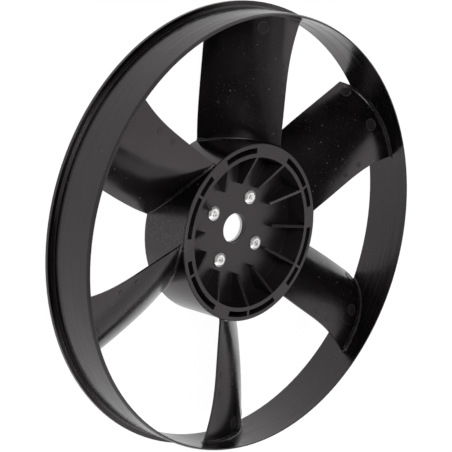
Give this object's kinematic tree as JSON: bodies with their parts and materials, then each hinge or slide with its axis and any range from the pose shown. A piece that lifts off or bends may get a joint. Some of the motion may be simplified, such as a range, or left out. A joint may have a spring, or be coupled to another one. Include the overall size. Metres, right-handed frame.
{
  "type": "axial fan impeller",
  "caption": "Ring-bladed axial fan impeller moulded in black plastic, with a ribbed hub riveted to a round steel mounting plate.",
  "frame": {"origin": "on the fan axis, in the plane of the hub barrel's rear rim, which the impeller stands on", "axes": "+Z along the fan axis towards the open ribbed front; +X along the hub rib beside one blade"},
  "size_m": [0.4134, 0.4134, 0.067],
  "materials": {
    "black_plastic": "fine matt moulding, slightly dusty",
    "steel_plate": "bare rolled steel",
    "zinc_rivet": "bright zinc"
  },
  "bodies": {
    "root": {"impeller": "black_plastic", "mounting_plate": "steel_plate", "rivets": "zinc_rivet"}
  },
  "joints": []
}
